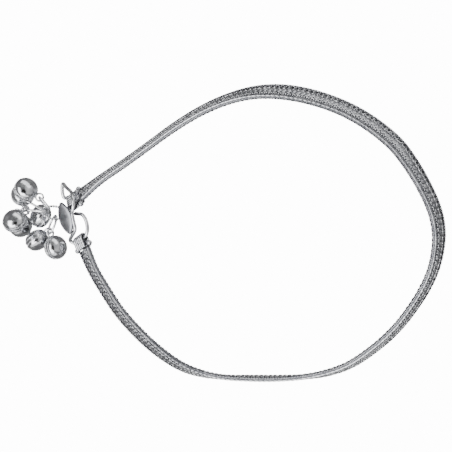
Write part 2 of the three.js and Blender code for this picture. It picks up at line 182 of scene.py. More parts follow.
# along, across and out of the end strap, from the middle of its bend
CLOSED_LOOP = [
    (0, -WIRE_EXIT, 0),
    (0, 0, 0),
    (0, WIRE_EXIT, 0),
    (0.2, 3.9, 0.4),
    (-1.6, 3.5, 1.5),
    (-2.4, 1.9, 2.2),
    (-2.3, -0.4, 2.3),
    (-1.1, -3.4, 2.6),
    (-0.35, -5.3, 2.85),
    (0.7, -4.2, 2.2),
    (1.35, -2.5, 1),
]
OPEN_HOOK = [
    (1.1, -3.1, 0.85),
    (0, -WIRE_EXIT, 0),
    (0, 0, 0),
    (0, WIRE_EXIT, 0),
    (1.2, 3.8, -0.3),
    (3.5, 4.2, -0.65),
    (5.5, 3.7, -0.65),
    (6.4, 2.4, -0.35),
    (6.95, 1.5, -0.15),
]
# where the hook's wire runs under the leaf, in shares of the leaf's half length and half width
HOOK_UNDER_LEAF = [(0.25, 0.93), (0.8, 0.77)]

# Rings
STRAND_RADIUS = 0.2
RING_TWISTS = 12
TWISTED_RING = (Vector((-48.25, 3.5, 3.9)), Vector((-0.68, 0.1, 0.72)), Vector((0.1, 0.98, 0)), 3.3, 1.7)
RING_WIRE_RADIUS = 0.33
RING_PLAY = 0.2
UPPER_RING = (0.144, Vector((-51.83, 9.25, 7.99)), 2.12, 1.49)
LOWER_RING = (0.737, Vector((-50.09, -2.08, 3.87)), 2.6, 1.92)
LONG_RING_ROUTE = [
    (-49.4, 3.7, 6.2),
    (-50, 3.85, 7.2),
    (-51.6, 4, 7.6),
    (-52.94, 4.12, 8.25),
    (-55.81, 3.82, 7.78),
    (-58.76, 3.6, 5.32),
    (-56.48, 5.22, 4.16),
    (-56.16, 3.34, 4.25),
    (-54.42, 6.35, 7.5),
    (-50.9, 4.2, 5.45),
    (-50.1, 3.8, 5.35),
]

# Bells
BELL_RIM_RADIUS = 3.3
BELL_DOME_RADIUS = 3.03
BELL_HALF_DEPTH = 2.58
BELL_BAND = 1
BELL_RIM_WIDTH = 0.36
BELL_GROOVE_RADIUS = 2.95
BELL_WALL = 0.3
# the rims' metal stays this far inside the rim's radius, and the beads on them this far
BEAD_STAND = 0.19
BEAD_INSET = 0.06
BELL_SLIT_LENGTH = 4.2
BELL_SLIT_WIDTH = 0.5
EYE_RADIUS = 0.98
EYE_WIRE_RADIUS = 0.28
EYE_SEAT = 0.2
# the ring it hangs on, how far round in turns, where its middle lies, the axis of its domes
BELLS = [
    ("upper", 0.010, (-53.66, 9.6, 9.15), (0.72, 0.38, 0.58)),
    ("long", 0.512, (-58.81, 8.41, 3), (0.45, 0.49, 0.74)),
    ("long", 0.316, (-56.23, 1.3, 10.56), (0.19, 0.56, 0.81)),
    ("long", 0.453, (-59.29, 0.09, 3.33), (0.76, -0.41, 0.51)),
    ("lower", 0.911, (-53.89, -3.76, 3.48), (0.59, -0.8, 0.09)),
    ("lower", 0.107, (-48.09, -5.68, 3.49), (0.94, 0.13, 0.33)),
    ("twisted", 0.852, (-53.09, 2.66, 3.04), (-0.49, 0.41, 0.77)),
]

# Camera: its height above the surface in degrees, its distance and its lens
CAMERA_ELEVATION = 65
CAMERA_DISTANCE = 315
CAMERA_LENS = 100

# Stage, in metres and watts: name, direction from the object, distance, width and height, power
LIGHTS = [
    ("left_softbox", (-0.292, 0, 0.956), 1.0, (0.9, 0.5), 11),
    ("low_softbox", (0.011, -0.579, 0.815), 1.0, (0.9, 0.5), 11),
    ("front_panel", (0.05, -0.88, 0.4), 1.0, (1.5, 0.45), 4.4),
    ("back_panel", (0.35, 0.88, 0.25), 1.0, (1.4, 0.45), 5),
    ("right_panel", (0.93, 0.2, 0.3), 1.0, (1.3, 1.1), 2.6),
]
FLOOR_HALF_WIDTH = 3.0
FLOOR_DROP = 0.0002
FLOOR_GLOW = 14.0
SHADE_DISTANCE = 0.6
SHADE_RADIUS = 0.2

UP = Vector((0, 0, 1))


# Curves


def hermite(start, end, leaving, arriving, share):
    """The point at a share of the way along a smooth span between two points."""
    square = share * share
    cube = square * share
    return (
        start * (2 * cube - 3 * square + 1)
        + end * (3 * square - 2 * cube)
        + leaving * (cube - 2 * square + share)
        + arriving * (cube - square)
    )


def even_curve(points, turn):
    """A point on the smooth open curve through evenly weighted points."""
    last = len(points) - 1
    span = min(int(last * turn), last - 1)
    here, there = points[span], points[span + 1]
    before = points[span - 1] if span > 0 else here * 2 - there
    after = points[span + 2] if span + 2 <= last else there * 2 - here
    return hermite(here, there, (there - before) / 2, (after - here) / 2, last * turn - span)


def gentle_curve(points, closed, turn):
    """A point on the smooth curve that gives short spans less swing, so that it makes no loops."""
    count = len(points)
    spans = count if closed else count - 1
    span = min(int(spans * turn), spans - 1)
    share = spans * turn - span
    here, there = points[span % count], points[(span + 1) % count]
    before = points[(span - 1) % count] if closed or span > 0 else here * 2 - there
    after = points[(span + 2) % count] if closed or span + 2 < count else there * 2 - here
    into, over, out = (
        math.sqrt(max((b - a).length, 1e-6))
        for a, b in ((before, here), (here, there), (there, after))
    )
    leaving = (here - before) / into - (there - before) / (into + over) + (there - here) / over
    arriving = (there - here) / over - (after - here) / (over + out) + (after - there) / out
    return hermite(here, there, leaving * over, arriving * over, share)


def oval_point(oval, turn):
    centre, long, short, half_length, half_width = oval
    angle = turn * math.tau
    return centre + long * (half_length * math.cos(angle)) + short * (half_width * math.sin(angle))


def direction_at(curve, turn):
    step = 1e-4
    return (curve(min(turn + step, 1)) - curve(max(turn - step, 0))).normalized()


def evenly_spaced(curve, count, closed):
    """Points at equal distances along a curve, without its end where it is closed."""
    fine = [curve(i / 800) for i in range(801)]
    lengths = [0.0]
    for a, b in zip(fine, fine[1:]):
        lengths.append(lengths[-1] + (b - a).length)
    points = []
    place = 0
    for i in range(count if closed else count + 1):
        wanted = lengths[-1] * i / count
        while place < 799 and lengths[place + 1] < wanted:
            place += 1
        span = max(lengths[place + 1] - lengths[place], 1e-9)
        points.append(fine[place].lerp(fine[place + 1], (wanted - lengths[place]) / span))
    return points


def carried_frames(points, closed):
    """Frames (origin, across, face) that follow a line of points without twisting."""
    count = len(points)
    tangents = []
    for i in range(count):
        before = points[(i - 1) % count] if closed or i > 0 else points[0]
        after = points[(i + 1) % count] if closed or i < count - 1 else points[-1]
        tangents.append((after - before).normalized())
    side = tangents[0].orthogonal().normalized()
    sides = [side]
    for a, b in zip(tangents, tangents[1:]):
        side = (a.rotation_difference(b) @ side).normalized()
        sides.append(side)
    slip = 0.0
    if closed:
        back = tangents[-1].rotation_difference(tangents[0]) @ sides[-1]
        slip = math.atan2(back.cross(sides[0]).dot(tangents[0]), back.dot(sides[0]))
    frames = []
    for i, (point, tangent, side) in enumerate(zip(points, tangents, sides)):
        across = Quaternion(tangent, slip * i / count) @ side
        frames.append((point, across, tangent.cross(across)))
    return frames


ROUTE_POINTS = [Vector((x, y, 0)) for x, y, lean, lift in STRAP_ROUTE]
ROUTE_POSES = [Vector((lean, lift, 0)) for x, y, lean, lift in STRAP_ROUTE]
ROUTE_STEPS = len(STRAP_ROUTE) * 20
ROUTE_LENGTHS = [0.0]
for step in range(ROUTE_STEPS):
    here = even_curve(ROUTE_POINTS, step / ROUTE_STEPS)
    there = even_curve(ROUTE_POINTS, (step + 1) / ROUTE_STEPS)
    ROUTE_LENGTHS.append(ROUTE_LENGTHS[-1] + (there - here).length)
ROUTE_LENGTH = ROUTE_LENGTHS[-1]


def route_turn(distance):
    """The curve's own parameter at a distance along the strap."""
    low, high = 0, ROUTE_STEPS
    while high - low > 1:
        middle = (low + high) // 2
        if ROUTE_LENGTHS[middle] <= distance:
            low = middle
        else:
            high = middle
    span = ROUTE_LENGTHS[low + 1] - ROUTE_LENGTHS[low]
    return (low + (distance - ROUTE_LENGTHS[low]) / span) / ROUTE_STEPS


def outline(wide, thick, crown_in):
    """Corners (across, out) of a flat bar with sloping shoulders, from its half sizes."""
    flat = wide - crown_in
    half = [(-wide, -thick / 2), (-flat, -thick), (flat, -thick), (wide, -thick / 2)]
    return half + [(-a, -b) for a, b in half]


def strap_section(relief):
    return outline(STRAP_WIDTH / 2 - relief, (STRAP_THICKNESS - relief) / 2, STRAP_CROWN)


def strap_frame(distance):
    """(origin, along, across, face) of the strap: across runs to its upper edge, face shows."""
    turn = route_turn(min(max(distance, 0), ROUTE_LENGTH))
    origin = even_curve(ROUTE_POINTS, turn)
    along = direction_at(partial(even_curve, ROUTE_POINTS), turn)
    inward = Vector((along.y, -along.x, 0))
    pose = even_curve(ROUTE_POSES, turn)
    lean = math.radians(pose.x)
    across = inward * math.sin(lean) + UP * math.cos(lean)
    face = UP * math.sin(lean) - inward * math.cos(lean)
    lowest = min(a * across.z + b * face.z for a, b in strap_section(0))
    origin.z = max(pose.y, 0) - lowest
    return origin, along, across, face


END_GAP = PIN_RADIUS + CLEARANCE
LINKS = round((ROUTE_LENGTH - 2 * END_GAP) / LINK_PITCH)
LINK_LENGTH = (ROUTE_LENGTH - 2 * END_GAP) / LINKS


def frame_origin():
    """Where the route's own zero lies in the part's frame, from the band's box."""
    low = Vector((1e9, 1e9, 1e9))
    for i in range(2 * LINKS + 1):
        origin, along, across, face = strap_frame(END_GAP + i * LINK_LENGTH / 2)
        for a, b in strap_section(0 if i % 2 else LINK_RELIEF):
            low = Vector(map(min, low, origin + across * a + face * b))
    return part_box("woven_band")[0] / MM - low


ORIGIN = frame_origin()


# Meshes


def part_mesh(name, points, faces):
    """A mesh in the part's frame, from points in millimetres."""
    mesh = bpy.data.meshes.new(name)
    mesh.from_pydata([(point + ORIGIN) * MM for point in points], [], faces)
    return mesh


def linked(name, data):
    made = bpy.data.objects.new(name, data)
    bpy.context.scene.collection.objects.link(made)
    return made


def silver_piece(name, body, key, replaces=(), sharp=35):
    """Makes a finished piece from a body's points in millimetres and its faces."""
    finish_mesh(name, part_mesh(name, *body), key, replaces, sharp)


def finish_mesh(name, mesh, key, replaces=(), sharp=35):
    mesh.validate()
    mesh.materials.clear()
    mesh.materials.append(finish(key))
    mesh.shade_smooth()
    mesh.set_sharp_from_angle(angle=math.radians(sharp))
    piece = linked(name, mesh)
    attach(piece, "root")
    if replaces:
        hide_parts(*replaces)


def modified_mesh(made, helpers):
    """The object's mesh after its modifiers; the object and its helpers are then removed."""
    depsgraph = bpy.context.evaluated_depsgraph_get()
    mesh = bpy.data.meshes.new_from_object(made.evaluated_get(depsgraph))
    made.modifiers.clear()
    for used in (made, *helpers):
        bpy.data.objects.remove(used)
    return mesh


def swept(frames, section_at, closed):
    """Points and faces of a body through a row of frames (origin, across, face)."""
    points = []
    faces = []
    for i, (origin, across, face) in enumerate(frames):
        section = section_at(i)
        points += [origin + across * a + face * b for a, b in section]
    around = len(section)
    for i in range(len(frames) if closed else len(frames) - 1):
        here = i * around
        there = (i + 1) % len(frames) * around
        for k in range(around):
            after = (k + 1) % around
            faces.append((here + k, here + after, there + after, there + k))
    if not closed:
        faces.append(tuple(range(around))[::-1])
        faces.append(tuple(len(points) - around + k for k in range(around)))
    return facing_out(points, faces)


def facing_out(points, faces):
    """The same body, with its faces turned over if its volume comes out negative."""
    volume = sum(
        points[face[0]].dot(points[face[i]].cross(points[face[i + 1]]))
        for face in faces
        for i in range(1, len(face) - 1)
    )
    return points, faces if volume > 0 else [face[::-1] for face in faces]


def joined(*bodies):
    points = []
    faces = []
    for body_points, body_faces in bodies:
        start = len(points)
        points += body_points
        faces += [tuple(start + k for k in face) for face in body_faces]
    return points, faces


def circle(radius, sides):
    return [
        (radius * math.cos(k / sides * math.tau), radius * math.sin(k / sides * math.tau))
        for k in range(sides)
    ]


def wire(curve, radius, sides, steps, closed):
    frames = carried_frames(evenly_spaced(curve, steps, closed), closed)
    section = circle(radius, sides)
    last = len(frames) - 1

    def section_at(i):
        if closed or 0 < i < last:
            return section
        return [(a * 0.6, b * 0.6) for a, b in section]

    return swept(frames, section_at, closed)


def oval_wire(oval, radius, sides, steps):
    return wire(partial(oval_point, oval), radius, sides, steps, True)


def turned(profile, sides, middle, axis, start):
    """Points and faces of a body turned about an axis, from (radius, height) pairs."""
    third = axis.cross(start)
    points = []
    rows = []
    for radius, height in profile:
        first = len(points)
        if radius < 1e-6:
            points.append(middle + axis * height)
            rows.append([first] * sides)
            continue
        for k in range(sides):
            angle = k / sides * math.tau
            spoke = start * math.cos(angle) + third * math.sin(angle)
            points.append(middle + spoke * radius + axis * height)
        rows.append(list(range(first, first + sides)))
    faces = []
    for lower, upper in zip(rows, rows[1:]):
        for k in range(sides):
            after = (k + 1) % sides
            corners = (lower[k], lower[after], upper[after], upper[k])
            faces.append(tuple(dict.fromkeys(corners)))
    return facing_out(points, faces)


def mirrored(half):
    """A whole profile from its upper half."""
    return half + [(radius, -height) for radius, height in reversed(half)]


# Materials


def linear(hex_colour):
    """An sRGB hex colour as linear red, green, blue and full alpha."""
    channels = [int(hex_colour[i : i + 2], 16) / 255 for i in (1, 3, 5)]
    return (*((c / 12.92 if c <= 0.04045 else ((c + 0.055) / 1.055) ** 2.4) for c in channels), 1)


def add_node(tree, kind, settings=None, **inputs):
    """Adds a node. An input is named with underscores and takes a value, an output of another
    node, or another node, which stands for the first of its outputs in use."""
    node = tree.nodes.new(kind)
    for key, value in (settings or {}).items():
        setattr(node, key, value)
    for key, value in inputs.items():
        if key[-1].isdigit() and key[:-1] == "input":
            socket = node.inputs[int(key[-1])]
        else:
            socket = node.inputs[key.replace("_", " ")]
        if isinstance(value, bpy.types.Node):
            value = next(output for output in value.outputs if output.enabled)
        if isinstance(value, bpy.types.NodeSocket):
            tree.links.new(value, socket)
        else:
            socket.default_value = value
    return node


def empty_material(name):
    """A material without nodes, and the function that adds them."""
    material = bpy.data.materials.new(name)
    material.use_nodes = True
    material.node_tree.nodes.clear()
    return material, partial(add_node, material.node_tree)


def silver(name, light, dark, patch_mm, rough_low, rough_high, grain_mm, bump):
    """Silver whose colour and roughness drift between two values, with a fine surface grain."""
    material, add = empty_material(name)
    place = add("ShaderNodeTexCoord").outputs["Object"]
    patches, grain = (
        add("ShaderNodeTexNoise", Vector=place, Scale=1 / (size_mm * MM), Detail=detail)
        for size_mm, detail in ((patch_mm, 3.0), (grain_mm, 4.0))
    )
    shade = add("ShaderNodeMapRange", Value=patches, From_Min=0.35, From_Max=0.65)
    rough = add(
        "ShaderNodeMapRange", Value=patches,
        From_Min=0.3, From_Max=0.7, To_Min=rough_low, To_Max=rough_high,
    )
    shader = add(
        "ShaderNodeBsdfPrincipled",
        Base_Color=add(
            "ShaderNodeMix", {"data_type": "RGBA"},
            input0=shade, input6=linear(dark), input7=linear(light),
        ),
        Metallic=1.0,
        Roughness=rough,
        Normal=add("ShaderNodeBump", Height=grain, Strength=bump, Distance=GRAIN_DEPTH),
    )
    add("ShaderNodeOutputMaterial", Surface=shader)
    return material


def finish(key):
    """One of the anklet's silver finishes, made once and then shared."""
    name, *values = FINISHES[key]
    return bpy.data.materials.get(name) or silver(name, *values)


# Name, light and dark colour, patch size, roughness range, grain size and grain strength
FINISHES = {
    # Spun and buffed sterling silver: bright, with soft-edged reflections and faint smudges.
    "bell": ("buffed_sterling_silver", "#D4D5D7", "#A9AAAE", 1.6, 0.12, 0.22, 0.3, 0.1),
    # Drawn silver wire, tumbled: clear streaky highlights along the wire.
    "wire": ("drawn_silver_wire", "#E8E9EB", "#C4C5C8", 1.5, 0.14, 0.26, 0.3, 0.1),
    # Stamped silver sheet, lightly brushed: a darker grey with a soft haze.
    "leaf": ("stamped_silver_sheet", "#87888C", "#75767A", 1.2, 0.3, 0.42, 0.25, 0.2),
    # Woven fine silver: small bright crowns that lose their polish between the links.
    "weave": ("woven_fine_silver", "#D0D1D3", "#9C9DA1", 1.1, 0.18, 0.34, 0.22, 0.15),
    # Flattened links of the weave: a smooth, duller grey face.
    "scale": ("flattened_silver_links", "#A9AAAD", "#808186", 1.3, 0.25, 0.38, 0.22, 0.12),
    # Rolled silver strip: smooth, a little dulled, beside the strap's upper edge.
    "rail": ("rolled_silver_strip", "#B4B5B8", "#8E8F93", 1.3, 0.22, 0.34, 0.3, 0.1),
    # Painted shade: dark and dull silver on the strap's core, standing for the shade in the gaps between
    # the links.
    "gap_shade": ("weave_gap_painted_shade", "#5A5B60", "#37383C", 0.8, 0.45, 0.65, 0.2, 0.3),
    # Ribbed silver strip with darkened grooves.
    "rib": ("ribbed_silver_strip", "#D2D3D6", "#96979C", 0.9, 0.18, 0.32, 0.2, 0.15),
}


# Rows of small pieces, by Geometry Nodes


def row_tree():
    """The tree that sets one small piece on every point of a row and turns it to the row."""
    found = bpy.data.node_groups.get("Silver Row")
    if found:
        return found
    tree = bpy.data.node_groups.new("Silver Row", "GeometryNodeTree")
    for name, kind in (
        ("Row", "NodeSocketGeometry"),
        ("Piece", "NodeSocketObject"),
        ("Slant", "NodeSocketFloat"),
        ("Tilt Variation", "NodeSocketFloat"),
        ("Size Variation", "NodeSocketFloat"),
        ("Seed", "NodeSocketInt"),
        ("Material", "NodeSocketMaterial"),
    ):
        tree.interface.new_socket(name, in_out="INPUT", socket_type=kind)
    tree.interface.new_socket("Pieces", in_out="OUTPUT", socket_type="NodeSocketGeometry")
    add = partial(add_node, tree)
    given = add("NodeGroupInput").outputs
    along, outward = (
        add("GeometryNodeInputNamedAttribute", {"data_type": "FLOAT_VECTOR"}, Name=name)
        for name in ("along", "outward")
    )
    facing = add(
        "FunctionNodeAxesToRotation", {"primary_axis": "Z", "secondary_axis": "X"},
        Primary_Axis=outward, Secondary_Axis=along,
    )
    least, most = (
        add(
            "ShaderNodeVectorMath", {"operation": "SCALE"},
            input0=(sign, sign, sign), Scale=given["Tilt Variation"],
        )
        for sign in (-1, 1)
    )
    tilt = add(
        "FunctionNodeRandomValue", {"data_type": "FLOAT_VECTOR"},
        Min=least, Max=most, Seed=given["Seed"],
    )
    slant = add("ShaderNodeCombineXYZ", Z=given["Slant"])
    turn = add("ShaderNodeVectorMath", input0=tilt, input1=slant)
    rotation = add(
        "FunctionNodeRotateRotation", {"rotation_space": "LOCAL"},
        Rotation=facing, Rotate_By=add("FunctionNodeEulerToRotation", Euler=turn),
    )
    smallest = add(
        "ShaderNodeMath", {"operation": "SUBTRACT"}, input0=1.0, input1=given["Size Variation"]
    )
    size = add(
        "FunctionNodeRandomValue", {"data_type": "FLOAT"},
        input2=smallest, input3=1.0, Seed=given["Seed"],
    )
    piece = add("GeometryNodeObjectInfo", Object=given["Piece"]).outputs["Geometry"]
    spread = add(
        "GeometryNodeInstanceOnPoints",
        Points=given["Row"], Instance=piece, Rotation=rotation, Scale=size,
    )
    solid = add("GeometryNodeRealizeInstances", Geometry=spread)
    coated = add("GeometryNodeSetMaterial", Geometry=solid, Material=given["Material"])
    add("NodeGroupOutput", Pieces=coated)
    return tree


def silver_row(name, row, template, key, slant=0.0, tilt=0.05, size=0.04, seed=3):
    """Sets the template on each (point, along, outward) of the row, as one finished piece."""
    points = part_mesh(name + "_points", [place[0] for place in row], [])
    for extra, column in (("along", 1), ("outward", 2)):
        values = points.attributes.new(extra, "FLOAT_VECTOR", "POINT")
        values.data.foreach_set("vector", [c for place in row for c in place[column]])
    holder = linked(name + "_row", points)
    small = linked(name + "_template", template)
    tree = row_tree()
    modifier = holder.modifiers.new("Silver Row", "NODES")
    modifier.node_group = tree
    values = {
        "Piece": small,
        "Slant": math.radians(slant),
        "Tilt Variation": tilt,
        "Size Variation": size,
        "Seed": seed,
        "Material": finish(key),
    }
    for item in tree.interface.items_tree:
        if item.item_type == "SOCKET" and item.in_out == "INPUT" and item.name in values:
            modifier[item.identifier] = values[item.name]
    mesh = modified_mesh(holder, [small])
    if not mesh.polygons:
        raise RuntimeError(f"the row {name} came out empty")
    for extra in ("along", "outward"):
        if extra in mesh.attributes:
            mesh.attributes.remove(mesh.attributes[extra])
    finish_mesh(name, mesh, key, sharp=50)


def template_mesh(name, points, faces):
    mesh = bpy.data.meshes.new(name)
    mesh.from_pydata([point * MM for point in points], [], faces)
    mesh.shade_smooth()
    return mesh


def crown(name, half_length, half_width, half_height, sides, rings):
    """A flattened round scale, its top up."""
    half = [math.pi * i / rings for i in range(rings + 1)]
    profile = [(math.sin(angle), math.cos(angle)) for angle in half]
    profile[0], profile[-1] = (0, 1), (0, -1)
    points, faces = turned(profile, sides, Vector(), UP, Vector((1, 0, 0)))
    points = [
        Vector((point.x * half_length, point.y * half_width, point.z * half_height))
        for point in points
    ]
    return template_mesh(name, points, faces)


def hoop(name, half_length, half_width, radius, steps, sides):
    """An oval ring of wire, lying flat."""
    oval = (Vector(), Vector((1, 0, 0)), Vector((0, 1, 0)), half_length, half_width)
    return template_mesh(name, *oval_wire(oval, radius, sides, steps))


def bar(name, half_length, half_width, half_height, sides, arch):
    """A short arched bar of wire, lying along y with its ends bent down."""
    stations = (-1, -0.8, 0, 0.8, 1)
    frames = [
        (Vector((0, s * half_length, -arch * s * s)), Vector((1, 0, 0)), UP) for s in stations
    ]
    shares = (0.35, 0.85, 1, 0.85, 0.35)

    def section_at(i):
        return [(a * half_width * shares[i], b * half_height * shares[i]) for a, b in circle(1, sides)]

    return template_mesh(name, *swept(frames, section_at, False))


def strap_row(across_mm, out_mm, side, per_link, shift):
    """Points with directions along the strap: side is face, back, top or bottom."""
    row = []
    for i in range(LINKS * per_link):
        distance = END_GAP + (i + 0.5 + shift) * LINK_LENGTH / per_link
        if not END_GAP + ROW_MARGIN <= distance <= ROUTE_LENGTH - END_GAP - ROW_MARGIN:
            continue
        origin, along, across, face = strap_frame(distance)
        outward = {"face": face, "back": -face, "top": across, "bottom": -across}[side]
        row.append((origin + across * across_mm + face * out_mm, along, outward))
    return row


# Settings


class AnkletStrapSettings(bpy.types.PropertyGroup):
    """Sizes of the strap's weave."""

    scale_length: bpy.props.FloatProperty(
        name="Scale Length", description="Length of one oval scale along the strap",
        default=1.06 * MM, min=0.5 * MM, max=1.3 * MM, unit="LENGTH", precision=5,
    )
    scale_width: bpy.props.FloatProperty(
        name="Scale Width", description="Width of one oval scale across the strap",
        default=1.32 * MM, min=0.5 * MM, max=1.6 * MM, unit="LENGTH", precision=5,
    )
    comb_slant: bpy.props.FloatProperty(
        name="Comb Slant", description="Turn of the short bars along the edges",
        default=math.radians(32), subtype="ANGLE",
    )
    unevenness: bpy.props.FloatProperty(
        name="Unevenness", description="How far the small pieces tip from place to place",
        default=math.radians(4), subtype="ANGLE",
    )
    seed: bpy.props.IntProperty(
        name="Seed", description="Start of the random tipping", default=3
    )


class AnkletBellSettings(bpy.types.PropertyGroup):
    """Sizes of the bells' rims."""

    beads: bpy.props.IntProperty(
        name="Rim Beads", description="Beads round each rim", default=44, min=12, max=80
    )
    bead_size: bpy.props.FloatProperty(
        name="Bead Size", description="Diameter of one bead on a rim",
        default=0.4 * MM, min=0.1 * MM, max=0.5 * MM, unit="LENGTH", precision=5,
    )


class AnkletStageSettings(bpy.types.PropertyGroup):
    """Floor and light of the plain studio."""

    floor_colour: bpy.props.FloatVectorProperty(
        name="Floor Colour", description="Colour of the plain floor",
        subtype="COLOR", size=4, default=(1, 1, 1, 1), min=0, max=1,
    )
    surround: bpy.props.FloatProperty(
        name="Surround", description="Brightness of the room that the silver reflects",
        default=0.3, min=0, max=2,
    )
    light_strength: bpy.props.FloatProperty(
        name="Light Strength", description="Factor on all the soft lights",
        default=1.0, min=0, max=10,
    )


# Pieces


class ANKLET_OT_strap(bpy.types.Operator):
    """Make the woven strap"""

    bl_idname = "anklet.strap"
    bl_label = "Woven Strap"

    def execute(self, context):
        settings = context.scene.anklet_strap
        self.make_core()
        self.make_rail()
        small = self.small_pieces(settings)
        for (
            name, piece, key, across_mm, out_mm, side, per_link, shift, slant, comb, uneven, step,
        ) in WEAVE_ROWS:
            silver_row(
                "strap_" + name, strap_row(across_mm, out_mm, side, per_link, shift),
                small[piece], key,
                slant=slant + comb * math.degrees(settings.comb_slant),
                tilt=uneven * settings.unevenness, seed=settings.seed + step,
            )
        return {"FINISHED"}

    def make_core(self):
        frames = []
        for i in range(LINKS * 2 + 1):
            origin, along, across, face = strap_frame(END_GAP + i * LINK_LENGTH / 2)
            frames.append((origin, across, face))
        section = outline(CORE_HALF_WIDTH, CORE_HALF_THICKNESS, CORE_CROWN)
        core = swept(frames, lambda i: section, False)
        # The core's dark finish is painted shade for the gaps between the links.
        silver_piece("strap_core", core, "gap_shade", ["woven_band"], 60)

    def make_rail(self):
        steps_per_link = len(RAIL_SWELLS)
        frames = []
        for i in range(LINKS * steps_per_link + 1):
            distance = END_GAP + i * LINK_LENGTH / steps_per_link
            origin, along, across, face = strap_frame(distance)
            frames.append((origin + across * RAIL_ACROSS + face * RAIL_OUT, across, face))

        def section_at(i):
            wide = RAIL_HALF_WIDTH * RAIL_SWELLS[i % steps_per_link]
            high = RAIL_HALF_HEIGHT * RAIL_SWELLS[i % steps_per_link]
            return [(a * wide, b * high) for a, b in circle(1, 12)]

        rail = swept(frames, section_at, False)
        silver_piece("strap_rail", rail, "rail", sharp=60)

    def small_pieces(self, settings):
        """The pieces that the weave repeats, each by its name."""
        long = settings.scale_length / MM / 2
        wide = settings.scale_width / MM / 2
        small = {name: bar(name, *sizes) for name, sizes in WEAVE_BARS.items()}
        small["scale"] = crown("scale", long, wide, 0.22, 12, 6)
        small["scale_ring"] = hoop("scale_ring", long + 0.02, wide + 0.04, 0.085, 14, 5)
        small["eyelet"] = hoop("eyelet", 0.52, 0.58, 0.11, 12, 6)
        return small


def end_frame(upper):
    origin, along, across, face = strap_frame(0 if upper else ROUTE_LENGTH)
    return origin, -along if upper else along, across, face


def placed(end, along_mm, across_mm, out_mm):
    origin, along, across, face = end
    return origin + along * along_mm + across * across_mm + face * out_mm


class ANKLET_OT_end_straps(bpy.types.Operator):
    """Make the two ribbed end straps and their cross pins"""

    bl_idname = "anklet.end_straps"
    bl_label = "End Straps and Pins"

    def execute(self, context):
        for upper, reach, key in ((True, UPPER_REACH, "upper"), (False, LOWER_REACH, "lower")):
            end = end_frame(upper)
            self.make_strap(end, reach, key)
            self.make_pin(end, key)
        return {"FINISHED"}

    def make_strap(self, end, reach, key):
        origin, along, across, face = end
        offset = (END_OPENING + END_THICKNESS) / 2
        frames = [
            (placed(end, place, 0, offset), across, face)
            for place in (-END_OVERLAP, 0, reach / 2)
        ]
        steps = 20
        for i in range(steps + 1):
            angle = math.pi * (0.5 - i / steps)
            out = along * math.cos(angle) + face * math.sin(angle)
            frames.append((placed(end, reach, 0, 0) + out * offset, across, out))
        frames += [
            (placed(end, place, 0, -offset), across, -face)
            for place in (reach / 2, 0, -END_OVERLAP)
        ]
        per_rib = 8
        top = []
        for i in range(END_RIBS * per_rib + 1):
            swell = abs(math.sin(math.pi * i / per_rib)) ** 0.6
            height = END_THICKNESS / 2 - END_GROOVE_DEPTH * (1 - swell)
            top.append((END_WIDTH * (i / (END_RIBS * per_rib) - 0.5), height))
        section = top + [(-a, -b * 0.9) for a, b in top]
        strap = swept(frames, lambda i: section, False)
        silver_piece(
            "ribbed_strap_" + key, strap, "rib", ["end_strap_" + key], 40
        )
        row = []
        for side in (1, -1):
            for i in range(3):
                for rib in range(END_RIBS + 1):
                    width = END_WIDTH * 0.94 * (rib / END_RIBS - 0.5)
                    spot = placed(end, reach * (i + 0.3) / 3.2, width, side * (offset + 0.2))
                    row.append((spot, along, face * side))
        silver_row(
            "ribbed_strap_beads_" + key, row, crown("strap_bead", 0.16, 0.12, 0.1, 8, 4),
            "wire", seed=5,
        )

    def make_pin(self, end, key):
        origin, along, across, face = end
        head = END_WIDTH / 2 + CLEARANCE + PIN_HEAD_RADIUS
        neck = math.asin(PIN_RADIUS / PIN_HEAD_RADIUS)
        half = []
        for i in range(11):
            angle = (math.pi - neck) * i / 10
            half.append((PIN_HEAD_RADIUS * math.sin(angle), head + PIN_HEAD_RADIUS * math.cos(angle)))
        half[0] = (0, half[0][1])
        pin = turned(mirrored(half), 24, origin, across, along)
        silver_piece(
            "round_headed_pin_" + key, pin, "rib", ["cross_pin_" + key]
        )


def leaf_axes():
    long = LEAF_POINTING.normalized()
    tilt = math.radians(LEAF_TILT)
    wide = Vector((math.cos(tilt), 0, math.sin(tilt)))
    wide = (wide - long * wide.dot(long)).normalized()
    return long, wide, long.cross(wide)


def leaf_point(long_share, wide_share, out_mm):
    long, wide, face = leaf_axes()
    return (
        LEAF_CENTRE
        + long * (long_share * LEAF_LENGTH / 2)
        + wide * (wide_share * LEAF_WIDTH / 2)
        + face * out_mm
    )


